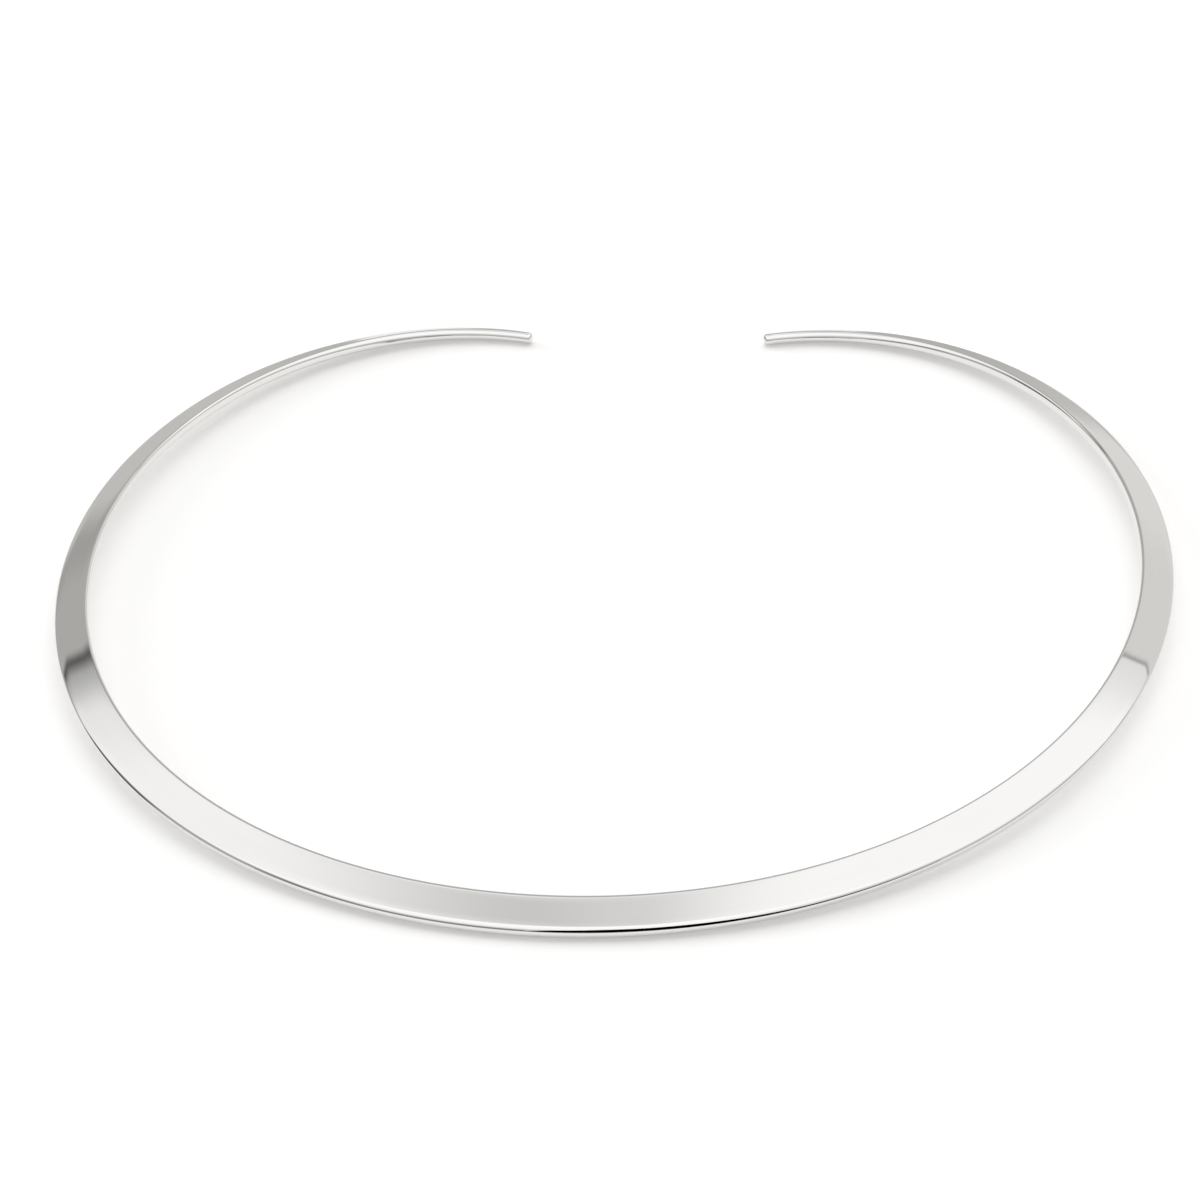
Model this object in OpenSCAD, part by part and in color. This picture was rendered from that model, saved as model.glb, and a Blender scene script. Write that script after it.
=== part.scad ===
// Open neck ring of plain polished silver, lying flat.
// Millimetres. The front of the ring points to -Y, the gap between the tips to +Y, and up is +Z.
// The origin is on the surface that the ring rests on, in the middle of its outline from above.

/* [Ring seen from above] */
// Radius of the round centre line
ring_r = 65.8; // [60:0.1:75]
// How far the centre line swells outwards at its four diagonals
diagonal_swell = 0.4; // [0:0.1:1.5]
// Angle from the front of the ring to the end of a tip, in degrees
half_sweep = 164.7; // [156:0.1:169]
// How far each tip is turned in towards the middle of the ring
tip_turn = 8.1; // [0:0.1:12]
// Angle from the front at which the turn starts, in degrees
turn_start = 121.5; // [100:0.5:130]

/* [Band] */
// Width of the flat band at the front
front_width = 5.4; // [4:0.1:8]
// How late the band narrows on its way to the tips: 1.5 is early, 4 is late
taper_power = 2.6; // [1.5:0.1:4]
// How much narrower than that taper the band is halfway to the tips
side_narrowing = 0.55; // [0:0.05:1]
// Thickness of the band at the front
front_thickness = 1.65; // [1.5:0.05:2.4]
// Thickness of the band halfway to the tips, where it is forged thinnest
side_thickness = 1.1; // [1:0.05:1.6]
// Slope of the band's face, down from its inner edge to its outer edge, in degrees
face_tilt = 16; // [0:1:25]

/* [Edges] */
// Radius of the rounded edges at the front
front_edge_r = 0.8; // [0.3:0.05:0.9]
// Radius of the crisper edges along the sides
side_edge_r = 0.35; // [0.2:0.05:0.5]
// Share of the way from the front to a tip at which the edges are at their crispest
crisp_from = 0.42; // [0.3:0.02:0.6]
// Share of the way at which the edges start to grow fully round
round_from = 0.72; // [0.62:0.02:0.8]

/* [Tips] */
// Diameter of the round tips
tip_d = 1.5; // [1.4:0.05:2]
// Radius of the softened rim at the end of each tip
tip_rim_r = 0.45; // [0.1:0.05:0.6]

/* [Rise] */
// How high the sides arch above the surface, between the front and the tips that rest on it
side_rise = 2.4; // [0:0.1:4]

/* [Facets] */
// Number of cross sections from one tip to the other
sections = 180; // [60:10:200]
// Number of facets on each rounded corner of a cross section
corner_facets = 5; // [3:1:6]
// Number of steps on the softened rim of a tip
rim_steps = 3; // [2:1:5]

/* [Hidden] */

// The tips turn in along a cubic curve, so that the turn starts without a kink.
turn_power = 3;
// Half the angle over which a tangent is measured
tangent_step = 0.05;

function unit(v) = v / norm(v);
// Grows from 0 to 1 as t does, starting and ending gently.
function ease(t) = let (s = min(1, max(0, t))) s * s * (3 - 2 * s);

// Distance from the ring's centre to its centre line at angle a, which is 0 at the front.
function turn_share(a) = max(0, (abs(a) - turn_start) / (half_sweep - turn_start));
function centre_r(a) = ring_r - diagonal_swell * cos(4 * a) - tip_turn * pow(turn_share(a), turn_power);
function centre_xy(a) = centre_r(a) * [sin(a), -cos(a)];

// Level direction across the band, pointing out of the ring.
function along(a) = unit(centre_xy(a + tangent_step) - centre_xy(a - tangent_step));
function outward(a) = [along(a).y, -along(a).x];

// Sizes of the cross section at share t of the way from the front to a tip.
// halfway is 0 at the front and at the tips, and 1 halfway between them.
function halfway(t) = pow(sin(180 * t), 2);
function band_width(t) =
    tip_d + (front_width - tip_d) * (1 - pow(t, taper_power)) - side_narrowing * halfway(t);
function band_thickness(t) =
    front_thickness + (tip_d - front_thickness) * t
    + (side_thickness - (front_thickness + tip_d) / 2) * halfway(t);
function edge_r(t) = min(
    band_thickness(t) / 2,
    front_edge_r + (side_edge_r - front_edge_r) * ease(t / crisp_from)
    + (tip_d / 2 - side_edge_r) * ease((t - round_from) / (1 - round_from))
);
function rise(t) = side_rise * halfway(t);

// Corners of a rounded rectangle, each an arc whose facets touch the true curve from outside.
// inset draws the whole outline in, as on the softened rim of a tip.
function section_outline(t, inset) =
    let (
        r = edge_r(t) - inset,
        half_w = band_width(t) / 2 - edge_r(t),
        half_t = band_thickness(t) / 2 - edge_r(t),
        step = 90 / corner_facets,
        corner_r = r / cos(step / 2)
    )
    [for (corner = [0:3], i = [0:corner_facets - 1])
        let (
            turn = 90 * corner + step * (i + 0.5),
            side_w = corner == 0 || corner == 3 ? 1 : -1,
            side_t = corner < 2 ? 1 : -1
        )
        [side_w * half_w + corner_r * cos(turn), side_t * half_t + corner_r * sin(turn)]];

// Height of the section's centre, so that its lowest point is at the rise of the ring there.
function centre_z(t) =
    rise(t) + (band_width(t) / 2 - edge_r(t)) * sin(face_tilt)
    + (band_thickness(t) / 2 - edge_r(t)) * cos(face_tilt) + edge_r(t);

// One cross section in space, standing square across the centre line and sloping down outwards.
function section_points(a, inset) =
    let (
        t = abs(a) / half_sweep,
        xy = centre_xy(a),
        out = outward(a),
        centre = [xy.x, xy.y, centre_z(t)],
        across = [out.x * cos(face_tilt), out.y * cos(face_tilt), -sin(face_tilt)],
        normal = [out.x * sin(face_tilt), out.y * sin(face_tilt), cos(face_tilt)]
    )
    [for (p = section_outline(t, inset)) centre + across * p.x + normal * p.y];

// Stations along the ring as [angle, inset]: the rim of one tip, the band, the rim of the other tip.
// Each rim is a quarter circle, from the flat end face at 90 degrees to the band's own edge at 0.
degrees_per_mm = 1 / norm(centre_xy(half_sweep) - centre_xy(half_sweep - 1));
rim_turns = [for (i = [0:rim_steps - 1]) 90 * (1 - i / rim_steps)];
rim = [for (b = rim_turns)
    [half_sweep - tip_rim_r * (1 - sin(b)) * degrees_per_mm, tip_rim_r * (1 - cos(b))]];
band_sweep = half_sweep - tip_rim_r * degrees_per_mm;
band = [for (i = [0:sections]) [band_sweep * (2 * i / sections - 1), 0]];
stations = concat(
    [for (s = rim) [-s[0], s[1]]],
    band,
    [for (i = [rim_steps - 1:-1:0]) rim[i]]
);

ring_points = [for (s = stations) each section_points(s[0], s[1])];
around = 4 * corner_facets;
last_ring = len(stations) - 1;

// Two triangles for each facet between neighbouring sections, and a flat face on the end of each tip.
side_faces = [for (i = [0:last_ring - 1], j = [0:around - 1])
    let (
        a = i * around + j,
        b = i * around + (j + 1) % around,
        c = a + around,
        d = b + around
    )
    each [[a, b, c], [b, d, c]]];
first_cap = [for (j = [around - 1:-1:0]) j];
last_cap = [for (j = [0:around - 1]) last_ring * around + j];
ring_faces = concat(side_faces, [first_cap, last_cap]);

// The move that puts the origin under the middle of the outline, level with the lowest point.
ys = [for (p = ring_points) p.y];
zs = [for (p = ring_points) p.z];
to_origin = [0, -(min(ys) + max(ys)) / 2, -min(zs)];

module neck_ring() {
    color("silver")
    translate(to_origin)
    polyhedron(points = ring_points, faces = ring_faces, convexity = 4);
}

neck_ring();
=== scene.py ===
# %% [markdown]
# # An open neck ring in polished silver
#
# The object is a torc: one piece of silver, forged into a flat band at the front and drawn down on
# both sides into two slim round ends. It has no clasp, stone or hinge, so everything that the eye
# judges is in two things: how evenly the band narrows and turns, and what its mirror finish reflects.
#
# This lesson makes both. First comes the camera, then the metal, worked the way a silversmith works
# it: a straight bar, rounded edges, a taper, and a bend. Then come the polish, the floor, and the
# studio, which matters more than usual because a mirror shows nothing but its surroundings.

import math

import bmesh
import bpy
from mathutils import Matrix, Vector


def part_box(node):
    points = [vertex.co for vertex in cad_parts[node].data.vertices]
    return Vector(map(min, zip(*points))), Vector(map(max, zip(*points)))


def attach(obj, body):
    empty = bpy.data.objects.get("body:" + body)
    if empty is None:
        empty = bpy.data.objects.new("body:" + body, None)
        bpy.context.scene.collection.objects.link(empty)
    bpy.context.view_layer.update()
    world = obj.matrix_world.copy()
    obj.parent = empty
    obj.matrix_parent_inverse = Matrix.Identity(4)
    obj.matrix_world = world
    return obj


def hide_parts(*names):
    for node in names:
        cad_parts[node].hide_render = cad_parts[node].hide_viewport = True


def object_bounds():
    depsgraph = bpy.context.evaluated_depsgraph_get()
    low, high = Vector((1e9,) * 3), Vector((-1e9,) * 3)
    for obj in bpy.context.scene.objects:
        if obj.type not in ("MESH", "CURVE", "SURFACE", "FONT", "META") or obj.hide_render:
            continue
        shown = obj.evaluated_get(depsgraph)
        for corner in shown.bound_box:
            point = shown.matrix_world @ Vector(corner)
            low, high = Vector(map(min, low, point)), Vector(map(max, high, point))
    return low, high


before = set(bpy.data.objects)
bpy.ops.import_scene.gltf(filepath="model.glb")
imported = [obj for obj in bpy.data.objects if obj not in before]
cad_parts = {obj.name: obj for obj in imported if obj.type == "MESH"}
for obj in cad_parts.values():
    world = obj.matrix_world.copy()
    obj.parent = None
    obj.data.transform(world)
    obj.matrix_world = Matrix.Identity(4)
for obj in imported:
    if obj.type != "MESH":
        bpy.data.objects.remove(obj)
cad_low, cad_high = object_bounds()
MM = 0.001
print("The ring measures", [round((hi - lo) / MM, 1) for lo, hi in zip(cad_low, cad_high)], "mm")


# %% Small helpers for objects
def new_object(name, data):
    """An object at the origin that holds a mesh, a camera or a light, placed in the scene."""
    made = bpy.data.objects.new(name, data)
    bpy.context.scene.collection.objects.link(made)
    return made


def object_from(bm, name):
    """Turns a finished bmesh into an object, and frees the bmesh."""
    mesh = bpy.data.meshes.new(name)
    bm.to_mesh(mesh)
    bm.free()
    return new_object(name, mesh)


# %% [markdown]
# ## The camera
#
# The ring lies on a table and is seen from in front and above, with a long lens, from a little to the
# right of its middle. The camera is placed by what a photographer would note down: the point it looks
# at, its height angle, how far it stands to the side, its distance and how much it leans.

# %% Where the camera stands
LOOK_AT = Vector((-1.52, 2.49, 0.0)) * MM
CAMERA_DISTANCE = 580 * MM
CAMERA_HEIGHT_ANGLE = math.radians(34.95)
CAMERA_SIDE_ANGLE = math.radians(6.42)
CAMERA_LEAN = math.radians(3.04)
VIEW_WIDTH = 145.14 * MM
SENSOR_WIDTH = 36.0
NEAREST_SEEN = 10 * MM

away = Vector((
    math.cos(CAMERA_HEIGHT_ANGLE) * math.sin(CAMERA_SIDE_ANGLE),
    -math.cos(CAMERA_HEIGHT_ANGLE) * math.cos(CAMERA_SIDE_ANGLE),
    math.sin(CAMERA_HEIGHT_ANGLE),
))
level_view = away.to_track_quat("Z", "Y").to_matrix()
lean = Matrix.Rotation(-CAMERA_LEAN, 3, "Z")

camera = new_object("camera", bpy.data.cameras.new("camera"))
camera.matrix_world = Matrix.Translation(LOOK_AT + away * CAMERA_DISTANCE) @ (level_view @ lean).to_4x4()
camera.data.sensor_width = SENSOR_WIDTH
camera.data.lens = SENSOR_WIDTH * CAMERA_DISTANCE / VIEW_WIDTH
camera.data.clip_start = NEAREST_SEEN
bpy.context.scene.camera = camera
print("The lens is", round(camera.data.lens, 1), "mm long")

# %% [markdown]
# ## The straight bar
#
# A silversmith starts a neck ring from a straight bar and bends it last. The same order works well
# here. Edges are easy to round and to cut while the bar is straight, and each point of the bar then
# knows how far along, across and through it lies. Those three numbers drive the taper and the bend,
# and later the polishing marks, which run along the metal.
#
# The bar is a cube stretched to size. Bevel rounds its four long edges, and a second bevel softens the
# rim of each end. A few cuts run along the bar beside the roundings. The outermost ones keep the middle
# of the flat faces truly flat in a mirror finish, because smooth shading would otherwise bend the
# reflections there. The others give the faces their soft shoulders, which the next step makes.
#
# The second bevel may list its faces in a different order from one run to the next. The shape stays the
# same, but two exported files can then differ when they are compared byte by byte.

# %% Sizes of the ring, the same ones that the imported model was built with
RING_R = 65.8 * MM
DIAGONAL_SWELL = 0.4 * MM
HALF_SWEEP = math.radians(164.7)
TIP_TURN = 8.1 * MM
TURN_START = math.radians(121.5)
TURN_POWER = 3
FRONT_WIDTH = 5.4 * MM
TAPER_POWER = 2.6
SIDE_NARROWING = 0.55 * MM
FRONT_THICKNESS = 1.65 * MM
SIDE_THICKNESS = 1.1 * MM
FACE_TILT = math.radians(16)
FRONT_EDGE_R = 0.8 * MM
SIDE_EDGE_R = 0.35 * MM
CRISP_FROM = 0.42
ROUND_FROM = 0.72
TIP_D = 1.5 * MM
TIP_RIM_R = 0.45 * MM
SIDE_RISE = 2.4 * MM

# %% The bar, with round edges and soft end rims
BAR_HALF_LENGTH = RING_R * HALF_SWEEP
BAR_EDGE_R = TIP_D / 2
EDGE_STEPS = 10
RIM_STEPS = 6
SECTIONS = 420
FLAT_HALF_W = FRONT_WIDTH / 2 - BAR_EDGE_R
FLAT_HALF_T = FRONT_THICKNESS / 2 - BAR_EDGE_R
SHOULDER_CUTS = 6
SHOULDER_SHARE = 0.45
GUARD = 0.03 * MM
ON_THE_PLANE = 1e-8


def lengthwise(bm):
    """The edges that run from one end of the bar to the other."""
    return [e for e in bm.edges if abs(e.verts[0].co.x - e.verts[1].co.x) > BAR_HALF_LENGTH]


def straight_bar():
    """A straight bar along X, with its four long edges and the rims of its ends rounded."""
    bm = bmesh.new()
    bmesh.ops.create_cube(bm, size=1)
    bmesh.ops.scale(bm, verts=bm.verts, vec=(2 * BAR_HALF_LENGTH, FRONT_WIDTH, FRONT_THICKNESS))
    bmesh.ops.bevel(bm, geom=lengthwise(bm), offset=BAR_EDGE_R, segments=EDGE_STEPS,
                    profile=0.5, affect="EDGES", material=-1)
    along = set(lengthwise(bm))
    end_rims = [e for e in bm.edges if e not in along]
    bmesh.ops.bevel(bm, geom=end_rims, offset=TIP_RIM_R, segments=RIM_STEPS,
                    profile=0.5, affect="EDGES", material=-1)
    return bm


def cut(bm, place, direction):
    """Cuts the whole bar by a plane, and keeps both halves."""
    everything = bm.verts[:] + bm.edges[:] + bm.faces[:]
    bmesh.ops.bisect_plane(bm, geom=everything, plane_co=place, plane_no=direction, dist=ON_THE_PLANE)


bar = straight_bar()
for side in (-1, 1):
    for i in range(SHOULDER_CUTS):
        inwards = SHOULDER_SHARE * i / (SHOULDER_CUTS - 1)
        cut(bar, (0, side * (FLAT_HALF_W * (1 - inwards) - GUARD), 0), (0, 1, 0))
    cut(bar, (0, 0, side * (FLAT_HALF_T - GUARD / 2)), (0, 0, 1))
bmesh.ops.subdivide_edges(bar, edges=lengthwise(bar), cuts=SECTIONS - 1, use_grid_fill=True)
print("The straight bar has", len(bar.faces), "faces")

# %% [markdown]
# ## The taper and the bend
#
# Now each point of the bar is carried to its place in the ring. Its distance along the bar becomes an
# angle around the ring. Its place in the cross section is split in two: how far it lies along a flat
# face, and which way it points out of its rounded corner. That way the flats can shrink to nothing
# while the corners stay round, and the flat band runs into a round wire without a seam.
#
# A buffing wheel also rubs the flat face down a little towards its edges. The drop is only hundredths
# of a millimetre, but a mirror shows it: reflections curve as they near the edge of the band.
#
# The bar's own coordinates are kept on the mesh as an attribute. They serve the polish later on.

# %% How the centre line runs and how the section changes
def centre_line(angle):
    """A point of the ring's centre line, seen from above, at an angle from the front."""
    turn = max(0.0, (abs(angle) - TURN_START) / (HALF_SWEEP - TURN_START))
    r = RING_R - DIAGONAL_SWELL * math.cos(4 * angle) - TIP_TURN * turn ** TURN_POWER
    return Vector((r * math.sin(angle), -r * math.cos(angle), 0))


def outward(angle):
    """The level direction across the band, pointing out of the ring."""
    step = math.radians(0.05)
    along = (centre_line(angle + step) - centre_line(angle - step)).normalized()
    return Vector((along.y, -along.x, 0))


def ease(share):
    """Grows from 0 to 1 as share does, starting and ending gently."""
    share = max(0.0, min(1.0, share))
    return share * share * (3 - 2 * share)


def halfway(share):
    """0 at the front and at the tips, and 1 halfway between them."""
    return math.sin(math.pi * share) ** 2


def section(share):
    """Half the width and thickness of the flats, and the corner radius, at a share of the way."""
    middle = halfway(share)
    width = TIP_D + (FRONT_WIDTH - TIP_D) * (1 - share ** TAPER_POWER) - SIDE_NARROWING * middle
    thickness = FRONT_THICKNESS + (TIP_D - FRONT_THICKNESS) * share
    thickness += (SIDE_THICKNESS - (FRONT_THICKNESS + TIP_D) / 2) * middle
    crisper = (FRONT_EDGE_R - SIDE_EDGE_R) * ease(share / CRISP_FROM)
    rounder = (TIP_D / 2 - SIDE_EDGE_R) * ease((share - ROUND_FROM) / (1 - ROUND_FROM))
    corner_r = min(thickness / 2, FRONT_EDGE_R - crisper + rounder)
    return width / 2 - corner_r, thickness / 2 - corner_r, corner_r


SHOULDER_FRONT = math.tan(math.radians(2.5))
SHOULDER_SIDE_OUTER = math.tan(math.radians(7))
SHOULDER_SIDE_INNER = math.tan(math.radians(3))


def shoulder_slope(share, outer):
    """How steeply the shoulder ends: little at the front, more along the sides, not at all at the tips."""
    at_side = SHOULDER_SIDE_OUTER if outer else SHOULDER_SIDE_INNER
    growing = SHOULDER_FRONT + (at_side - SHOULDER_FRONT) * ease(share / CRISP_FROM)
    return growing * (1 - ease((share - CRISP_FROM) / (1 - CRISP_FROM)))


def shoulder_drop(p, flat_w, share):
    """How far polishing has lowered the face at a place p across it, near either edge."""
    slope = shoulder_slope(share, p > 0)
    start = flat_w * (1 - SHOULDER_SHARE)
    length = flat_w - start
    past = max(0.0, abs(p) - start)
    if past < length:
        return slope * past * past / (2 * length)
    return slope * (past - length / 2)


def in_the_ring(place):
    """Where a point of the straight bar ends up after the taper and the bend."""
    share = min(1.0, abs(place.x) / BAR_HALF_LENGTH)
    angle = HALF_SWEEP * place.x / BAR_HALF_LENGTH
    flat_w, flat_t, corner_r = section(share)
    across = max(-FLAT_HALF_W, min(FLAT_HALF_W, place.y))
    through = max(-FLAT_HALF_T, min(FLAT_HALF_T, place.z))
    p = across / FLAT_HALF_W * flat_w + (place.y - across) / BAR_EDGE_R * corner_r
    q = through / FLAT_HALF_T * flat_t + (place.z - through) / BAR_EDGE_R * corner_r
    near_the_face = 0.5 + q / (2 * (flat_t + corner_r))
    q -= shoulder_drop(p, flat_w, share) * near_the_face
    rise = SIDE_RISE * halfway(share)
    height = rise + flat_w * math.sin(FACE_TILT) + flat_t * math.cos(FACE_TILT) + corner_r
    out = outward(angle)
    up = Vector((0, 0, 1))
    across_dir = out * math.cos(FACE_TILT) - up * math.sin(FACE_TILT)
    face_dir = out * math.sin(FACE_TILT) + up * math.cos(FACE_TILT)
    return centre_line(angle) + up * height + across_dir * p + face_dir * q


# %% Taper and bend the bar
bar_place = bar.verts.layers.float_vector.new("bar_place")
for vert in bar.verts:
    vert[bar_place] = vert.co.copy()
    vert.co = in_the_ring(vert.co)

WELD = 0.002 * MM
bmesh.ops.remove_doubles(bar, verts=bar.verts, dist=WELD)
bmesh.ops.recalc_face_normals(bar, faces=bar.faces)
for face in bar.faces:
    face.smooth = True

low_y = min(v.co.y for v in bar.verts)
high_y = max(v.co.y for v in bar.verts)
low_z = min(v.co.z for v in bar.verts)
node_low, node_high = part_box("neck_ring")
settle = Vector((0, (node_low.y + node_high.y - low_y - high_y) / 2, node_low.z - low_z))
bmesh.ops.translate(bar, verts=bar.verts, vec=settle)
print("The ring moved by", [round(c / MM, 3) for c in settle], "mm to lie where the packed one lies")

torc = object_from(bar, "silver_torc")
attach(torc, "root")
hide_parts("neck_ring")
print("The finished ring has", len(torc.data.polygons), "faces")


# %% [markdown]
# ## Helpers for shader nodes
#
# Shader nodes are wired by name, so a few small helpers keep the recipes below readable. They set an
# input, add a node, make an empty node group with named sockets, place a group, and blend two colours.
# The last one makes a plain material without gloss, for the floor and for cards.

# %% Small helpers for shader nodes
def feed(tree, socket, source):
    """Sets a node's input: wires it to an output, or gives it a plain value."""
    if isinstance(source, bpy.types.NodeSocket):
        tree.links.new(source, socket)
    else:
        socket.default_value = source


def add(tree, kind, links=None, **values):
    """Adds a node. links maps its inputs to outputs, or to plain values; values set its properties."""
    node = tree.nodes.new(kind)
    for name, value in values.items():
        setattr(node, name, value)
    for name, source in (links or {}).items():
        feed(tree, node.inputs[name], source)
    return node


def group(name, inputs, outputs):
    """An empty shader node group. inputs and outputs are rows of a name, a type and a start value."""
    tree = bpy.data.node_groups.new(name, "ShaderNodeTree")
    for label, kind, start in inputs:
        socket = tree.interface.new_socket(label, in_out="INPUT", socket_type="NodeSocket" + kind)
        socket.default_value = start
    for label, kind in outputs:
        tree.interface.new_socket(label, in_out="OUTPUT", socket_type="NodeSocket" + kind)
    return tree, add(tree, "NodeGroupInput").outputs, add(tree, "NodeGroupOutput").inputs


def place_group(tree, which, links):
    """Places a node group in a node tree and sets its inputs."""
    return add(tree, "ShaderNodeGroup", links, node_tree=which)


def mix_colours(tree, factor, first, second):
    """Blends two colours, each an output or a plain colour, and returns the result's output."""
    node = add(tree, "ShaderNodeMix", {"Factor": factor}, data_type="RGBA")
    shown = {socket.name: socket for socket in node.inputs if socket.enabled}
    feed(tree, shown["A"], first)
    feed(tree, shown["B"], second)
    return [socket for socket in node.outputs if socket.enabled][0]


MATT = 0.9


def plain_material(name, base, glow, strength):
    """A matt material with no gloss at all, which gives off a little light of its own."""
    material = bpy.data.materials.new(name)
    material.use_nodes = True
    inputs = material.node_tree.nodes["Principled BSDF"].inputs
    inputs["Roughness"].default_value = MATT
    inputs["Specular IOR Level"].default_value = 0.0
    inputs["Base Color"].default_value = base
    inputs["Emission Color"].default_value = glow
    inputs["Emission Strength"].default_value = strength
    return material


# %% [markdown]
# ## The polish
#
# Silver buffed on a wheel is nearly a mirror. Up close it still shows the hand: hairlines left along
# the band by the last polishing strokes, faintly darker places where it has been rubbed, and a slight
# waviness where the metal was hammered and filed. The hairlines and the rubbed places are noise
# stretched along the bar, and one node group makes both from different values. The waviness is a broad
# bump. All of them read the bar's own coordinates, so they follow the metal around the ring.

# %% A node group for marks that run along the metal
marks_group, marks_in, marks_out = group(
    "marks_along_the_metal",
    [("Place", "Vector", (0, 0, 0)), ("Length", "Float", 0.02), ("Width", "Float", 0.0002),
     ("Amount", "Float", 0.3)],
    [("Marks", "Float")],
)
along_scale = add(marks_group, "ShaderNodeMath", {0: 1.0, 1: marks_in["Length"]}, operation="DIVIDE")
across_scale = add(marks_group, "ShaderNodeMath", {0: 1.0, 1: marks_in["Width"]}, operation="DIVIDE")
stretch = add(marks_group, "ShaderNodeCombineXYZ", {
    "X": along_scale.outputs[0], "Y": across_scale.outputs[0], "Z": across_scale.outputs[0]})
stretched = add(marks_group, "ShaderNodeVectorMath", {
    0: marks_in["Place"], 1: stretch.outputs[0]}, operation="MULTIPLY")
grain = add(marks_group, "ShaderNodeTexNoise", {
    "Vector": stretched.outputs[0], "Scale": 1.0, "Detail": 3.0, "Roughness": 0.6})
threshold = add(marks_group, "ShaderNodeMath", {0: 1.0, 1: marks_in["Amount"]}, operation="SUBTRACT")
picked = add(marks_group, "ShaderNodeMapRange", {
    "Value": grain.outputs["Fac"], "From Min": threshold.outputs[0], "From Max": 1.0},
    interpolation_type="SMOOTHSTEP")
marks_group.links.new(picked.outputs["Result"], marks_out["Marks"])

# %% The silver
SILVER = (0.79, 0.783, 0.77, 1)
SILVER_WORN = (0.775, 0.768, 0.755, 1)
ROUGH_CLEAN = 0.035
ROUGH_MARKED = 0.10
HAIR_LENGTH = 6 * MM
HAIR_WIDTH = 0.09 * MM
HAIR_AMOUNT = 0.42
HAIR_DEPTH = 0.0004 * MM
RUB_LENGTH = 15 * MM
RUB_WIDTH = 1.5 * MM
RUB_AMOUNT = 0.65
WAVE_LENGTH = 9 * MM
WAVE_DEPTH = 0.010 * MM

silver = bpy.data.materials.new("polished_silver")
silver.use_nodes = True
tree = silver.node_tree
shader = tree.nodes["Principled BSDF"]
shader.inputs["Metallic"].default_value = 1.0
metal_place = add(tree, "ShaderNodeAttribute", attribute_type="GEOMETRY", attribute_name="bar_place")
hairlines = place_group(tree, marks_group, {
    "Place": metal_place.outputs["Vector"],
    "Length": HAIR_LENGTH, "Width": HAIR_WIDTH, "Amount": HAIR_AMOUNT})
rub_marks = place_group(tree, marks_group, {
    "Place": metal_place.outputs["Vector"],
    "Length": RUB_LENGTH, "Width": RUB_WIDTH, "Amount": RUB_AMOUNT})
roughness = add(tree, "ShaderNodeMapRange", {
    "Value": hairlines.outputs["Marks"], "To Min": ROUGH_CLEAN, "To Max": ROUGH_MARKED})
tree.links.new(roughness.outputs["Result"], shader.inputs["Roughness"])
tint = mix_colours(tree, rub_marks.outputs["Marks"], SILVER, SILVER_WORN)
tree.links.new(tint, shader.inputs["Base Color"])

wave = add(tree, "ShaderNodeTexNoise", {
    "Vector": metal_place.outputs["Vector"], "Scale": 1 / WAVE_LENGTH, "Detail": 1.0})
wave_bump = add(tree, "ShaderNodeBump", {
    "Height": wave.outputs["Fac"], "Distance": WAVE_DEPTH, "Strength": 1.0})
line_bump = add(tree, "ShaderNodeBump", {
    "Height": hairlines.outputs["Marks"], "Distance": HAIR_DEPTH, "Strength": 1.0,
    "Normal": wave_bump.outputs["Normal"]}, invert=True)
tree.links.new(line_bump.outputs["Normal"], shader.inputs["Normal"])
torc.data.materials.append(silver)
print("The silver is made of", len(tree.nodes), "nodes")

# %% [markdown]
# ## The floor
#
# The ring lies on a plain white surface. It is one large square, so that a mirror finish never
# reflects its edge. A touch of warmth in it shows up in the low, downward-facing sides of the metal.
#
# Such a surface is usually white plastic lit from below as well as from above, because that lifts the
# shadows until they are only a breath of grey. Emission on the floor's material stands for that light.

# %% A plain white floor, lit a little from below
FLOOR_HALF = 2.5
FROM_BELOW = 0.22
FLOOR_WHITE = (0.90, 0.897, 0.892, 1)
FAINTLY_WARM = (1, 0.995, 0.985, 1)

floor_bm = bmesh.new()
bmesh.ops.create_grid(floor_bm, x_segments=1, y_segments=1, size=FLOOR_HALF)
floor = object_from(floor_bm, "floor")
floor.data.materials.append(plain_material("white_surface", FLOOR_WHITE, FAINTLY_WARM, FROM_BELOW))
print("The floor is", 2 * FLOOR_HALF, "m wide")

# %% [markdown]
# ## Cards in front of the ring
#
# Two low cards, a grey and a black one, stand close in front of the ring. They draw the thin dark line
# under its front edge. It is black a little to the right of the middle, and that one stroke makes
# silver look like silver. The cards are real objects and not part of the distant studio, because they
# are so near: the front edge sees them tall, and the round tips, far behind, hardly see them at all.
# Only reflections may show them, so the camera, the light and the shadows pass them by.
#
# The black card is cut like a sail, high at its left end and low at its right, so that its line swells
# and runs out. Each card is one face on a few corners.

# %% Two cards, standing in a row
CARD_GAP = 25 * MM
BLACK = (0, 0, 0, 1)
PURE_WHITE = (1, 1, 1, 1)
# name, brightness, and the corners of the card as pairs of x and z in millimetres
CARDS = [
    ("grey_card", 0.28, [(-100, 3), (-10, 4), (-10, 14), (-45, 17), (-100, 17)]),
    ("black_card", 0.0, [(-10, 5), (10, 4), (38, 0), (110, 0), (110, 9), (46, 13), (22, 28), (4, 31),
                         (-6, 20)]),
]
for name, brightness, corners in CARDS:
    card_bm = bmesh.new()
    for x, z in corners:
        card_bm.verts.new((x * MM, cad_low[1] - CARD_GAP, z * MM))
    bmesh.ops.contextual_create(card_bm, geom=card_bm.verts)
    card = object_from(card_bm, name)
    card.visible_camera = False
    card.visible_diffuse = False
    card.visible_shadow = False
    card.data.materials.append(plain_material(name, BLACK, PURE_WHITE, brightness))
    print("The", name.replace("_", " "), "has", len(corners), "corners")

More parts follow.
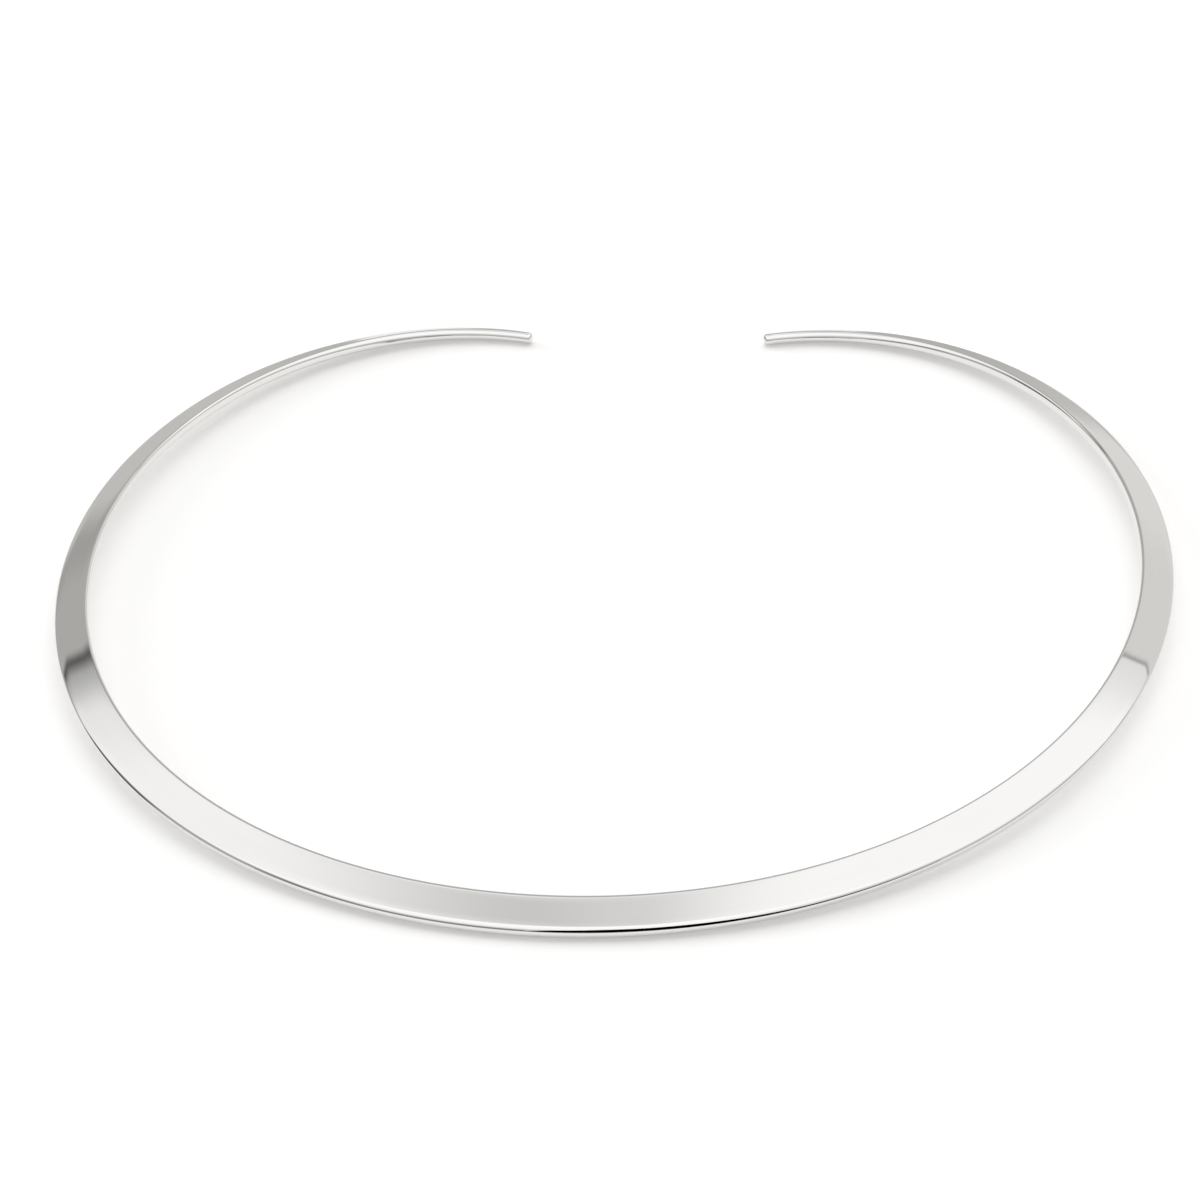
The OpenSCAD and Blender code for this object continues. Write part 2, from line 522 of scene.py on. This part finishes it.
# %% [markdown]
# ## The studio
#
# A mirror finish shows nothing but the room, so the room is modelled as carefully as the metal. Behind
# the ring stands a plain wall, and above it two tall soft boxes side by side. Their lower frame makes
# the thin dark line that crosses the band on both sides. A dim gap, high overhead, is the broad grey
# shade at the front. To the left stand a dim wall and a dark doorway: they draw the dark line along the
# outer edge of the left arm, and a fainter one along the inner edge of the right arm. Elsewhere the
# room is dim low down and bright above.
#
# All of it is far away compared with the ring, so it is drawn into the world, by direction. Each thing
# is a rectangle on an imaginary flat wall. A group turns the sky until that wall lies straight ahead.
# How far a place on it lies to the side, and how high, are then plain ratios, measured in units of the
# wall's distance, as on graph paper.

# %% A node group for one rectangle on a wall
panel_group, panel_in, panel_out = group(
    "panel_on_a_wall",
    [("Direction", "Vector", (0, 1, 0)), ("Azimuth", "Float", 0.0), ("Elevation", "Float", 0.0),
     ("Left", "Float", -1.0), ("Right", "Float", 1.0), ("Bottom", "Float", -1.0), ("Top", "Float", 1.0),
     ("Side Softness", "Float", 0.1), ("Bottom Softness", "Float", 0.1), ("Top Softness", "Float", 0.1)],
    [("Mask", "Float")],
)
spin_level = add(panel_group, "ShaderNodeVectorRotate", {
    "Vector": panel_in["Direction"], "Angle": panel_in["Azimuth"]}, rotation_type="Z_AXIS")
lower = add(panel_group, "ShaderNodeMath", {0: panel_in["Elevation"], 1: -1.0}, operation="MULTIPLY")
spin_down = add(panel_group, "ShaderNodeVectorRotate", {
    "Vector": spin_level.outputs[0], "Angle": lower.outputs[0]}, rotation_type="X_AXIS")
ahead = add(panel_group, "ShaderNodeSeparateXYZ", {"Vector": spin_down.outputs[0]})
ALMOST_ZERO = 0.001


def panel_sum(operation, first, second):
    """A sum inside the panel group, with its result as an output."""
    return add(panel_group, "ShaderNodeMath", {0: first, 1: second}, operation=operation).outputs[0]


distance = panel_sum("MAXIMUM", ahead.outputs["Y"], ALMOST_ZERO)
aside = panel_sum("DIVIDE", ahead.outputs["X"], distance)
above = panel_sum("DIVIDE", ahead.outputs["Z"], distance)


def past_edge(place, edge, softness):
    """0 before an edge of the rectangle and 1 past it, with a soft step between."""
    step = add(panel_group, "ShaderNodeMapRange", {
        "Value": place,
        "From Min": panel_sum("SUBTRACT", panel_in[edge], panel_in[softness]),
        "From Max": panel_sum("ADD", panel_in[edge], panel_in[softness])},
        interpolation_type="SMOOTHSTEP")
    return step.outputs["Result"]


beside = panel_sum("SUBTRACT", past_edge(aside, "Left", "Side Softness"),
                   past_edge(aside, "Right", "Side Softness"))
upright = panel_sum("SUBTRACT", past_edge(above, "Bottom", "Bottom Softness"),
                    past_edge(above, "Top", "Top Softness"))
panel_group.links.new(panel_sum("MULTIPLY", beside, upright), panel_out["Mask"])

# %% The room around the rectangles
# elevation in degrees, brightness, warmth
ROOM = [
    (0, 0.50, 0.01),
    (8, 0.55, 0.0),
    (20, 0.58, 0.0),
    (34, 0.85, 0.0),
    (48, 1.15, 0.0),
    (90, 1.25, 0.0),
]


def light_colour(brightness, warmth):
    """A light's colour from its brightness and how far it leans from blue to red."""
    return (brightness * (1 + warmth), brightness, brightness * (1 - warmth), 1)


world = bpy.data.worlds.new("studio")
bpy.context.scene.world = world
world.use_nodes = True
sky = world.node_tree
sky.nodes.clear()
direction = add(sky, "ShaderNodeTexCoord").outputs["Generated"]
height = add(sky, "ShaderNodeSeparateXYZ", {"Vector": direction}).outputs["Z"]
room = add(sky, "ShaderNodeValToRGB", {"Fac": height})
while len(room.color_ramp.elements) < len(ROOM):
    room.color_ramp.elements.new(1.0)
for stop, (elevation, brightness, warmth) in zip(room.color_ramp.elements, ROOM):
    stop.position = math.sin(math.radians(elevation))
    stop.color = light_colour(brightness, warmth)

# %% The walls, the doorway and the soft boxes
WALL = 4.7
SIDE = -80
TALL = 9.0
FRAME = 0.835
# name, azimuth that the wall faces (clockwise from the back) and its elevation, left, right, bottom,
# top, softness of the sides, bottom and top, brightness, warmth
PANELS = [
    ("side_dark", SIDE, 0, -3.5, -0.6, 0.40, 0.85, 0.3, 0.15, 0.06, 0.20, 0.0),
    ("side_upper", SIDE, 0, -0.6, 1.2, 0.40, 0.85, 0.3, 0.15, 0.06, 0.42, 0.0),
    ("side_low", SIDE, 0, -1.5, 1.2, -TALL, 0.40, 0.3, 0.10, 0.12, 0.55, 0.01),
    ("side_door", SIDE, 0, -0.20, 0.22, -TALL, 0.55, 0.06, 0.01, 0.12, 0.12, 0.0),
    ("wall", WALL, 0, -1.15, 1.6, -TALL, FRAME, 0.10, 0.01, 0.01, 0.62, 0.02),
    ("wall_right", WALL, 0, -0.12, 1.6, 0.20, FRAME, 0.15, 0.04, 0.01, 0.84, 0.012),
    ("wall_right_upper", WALL, 0, -0.12, 1.6, 0.45, FRAME, 0.15, 0.07, 0.01, 0.785, 0.012),
    ("wall_left", WALL, 0, -1.5, -0.22, 0.35, FRAME, 0.15, 0.06, 0.01, 0.42, 0.02),
    ("wall_left_upper", WALL, 0, -1.5, -0.22, 0.50, FRAME, 0.15, 0.07, 0.01, 0.49, 0.02),
    ("wall_middle", WALL, 0, -0.35, 0.03, -TALL, FRAME - 0.02, 0.07, 0.01, 0.02, 0.52, 0.01),
    ("left_box", WALL, 0, -2.5, -0.22, FRAME, TALL, 0.15, 0.01, 0.01, 0.45, 0.0),
    ("left_box_body", WALL, 0, -2.5, -0.22, 1.00, TALL, 0.15, 0.14, 0.01, 0.98, 0.0),
    ("left_box_heart", WALL, 0, -2.5, -0.22, 1.35, TALL, 0.15, 0.30, 0.01, 1.12, 0.0),
    ("right_box", WALL, 0, -0.12, 2.2, FRAME + 0.003, TALL, 0.15, 0.003, 0.01, 0.90, 0.0),
    ("right_box_body", WALL, 0, -0.12, 2.2, 1.00, TALL, 0.15, 0.19, 0.01, 1.18, 0.0),
    ("left_frame", WALL, 0, -2.5, -0.22, FRAME - 0.02, FRAME + 0.03, 0.15, 0.03, 0.05, 0.05, 0.0),
    ("right_frame", WALL, 0, -0.12, 2.2, FRAME - 0.006, FRAME + 0.009, 0.15, 0.012, 0.005, 0.36, 0.0),
    ("gap_overhead", -20, 70, -0.11, 0.10, -0.15, 0.15, 0.12, 0.15, 0.17, 0.71, 0.005),
]
EDGES = ("Left", "Right", "Bottom", "Top", "Side Softness", "Bottom Softness", "Top Softness")
seen_in_metal = room.outputs["Color"]
for name, azimuth, elevation, *edges, brightness, warmth in PANELS:
    panel = place_group(sky, panel_group, {
        "Direction": direction, "Azimuth": math.radians(azimuth), "Elevation": math.radians(elevation),
        **dict(zip(EDGES, edges))})
    panel.name = name
    panel_light = light_colour(brightness, warmth)
    seen_in_metal = mix_colours(sky, panel.outputs["Mask"], seen_in_metal, panel_light)
print("The studio has", len(PANELS), "rectangles")

# %% [markdown]
# Three kinds of ray ask the world for its light, and each gets its own answer. Rays that the metal
# reflects see the studio. Rays that light the floor see one even brightness, as from a large white
# tent. The camera itself sees a plain pale backdrop.

# %% The world's answer to each kind of ray
TENT = 0.44
studio_light = add(sky, "ShaderNodeBackground", {"Color": seen_in_metal, "Strength": 1.0})
tent_light = add(sky, "ShaderNodeBackground", {"Color": FAINTLY_WARM, "Strength": TENT})
backdrop = add(sky, "ShaderNodeBackground", {"Color": PURE_WHITE, "Strength": 1.0})
ray = add(sky, "ShaderNodeLightPath")
lit_or_seen = add(sky, "ShaderNodeMixShader", {
    0: ray.outputs["Is Diffuse Ray"], 1: studio_light.outputs[0], 2: tent_light.outputs[0]})
chosen = add(sky, "ShaderNodeMixShader", {
    0: ray.outputs["Is Camera Ray"], 1: lit_or_seen.outputs[0], 2: backdrop.outputs[0]})
add(sky, "ShaderNodeOutputWorld", {"Surface": chosen.outputs[0]})
print("The world is made of", len(sky.nodes), "nodes")

# %% [markdown]
# Two broad lights bring the floor up to white. One hangs high up, a little behind the ring. The other
# is a low window to the left and behind, and lays the soft shadow in front of the metal and to its
# right. Both are kept out of the reflections, where the wall and the boxes already stand for them.

# %% The lights on the floor
# name, where the light comes from, how broad it is in degrees, and its strength
LIGHTS = [
    ("overhead_light", (0.0, 0.67, 1.0), 73, 1.34),
    ("window_light", (-2.6, 1.2, 1.0), 32, 0.96),
]
for name, comes_from, breadth, strength in LIGHTS:
    light = new_object(name, bpy.data.lights.new(name, "SUN"))
    light.rotation_euler = Vector(comes_from).to_track_quat("Z", "Y").to_euler()
    light.data.angle = math.radians(breadth)
    light.data.energy = strength
    light.visible_glossy = False
    print("The", name.replace("_", " "), "is", breadth, "degrees broad")

# %% [markdown]
# The picture is shown in plain standard colours. A film look would turn the white floor grey and take
# the snap out of the silver.

# %% Plain colours, with no film look
colours = bpy.context.scene.view_settings
colours.view_transform = "Standard"
colours.look = "None"
colours.exposure = 0.0
colours.gamma = 1.0
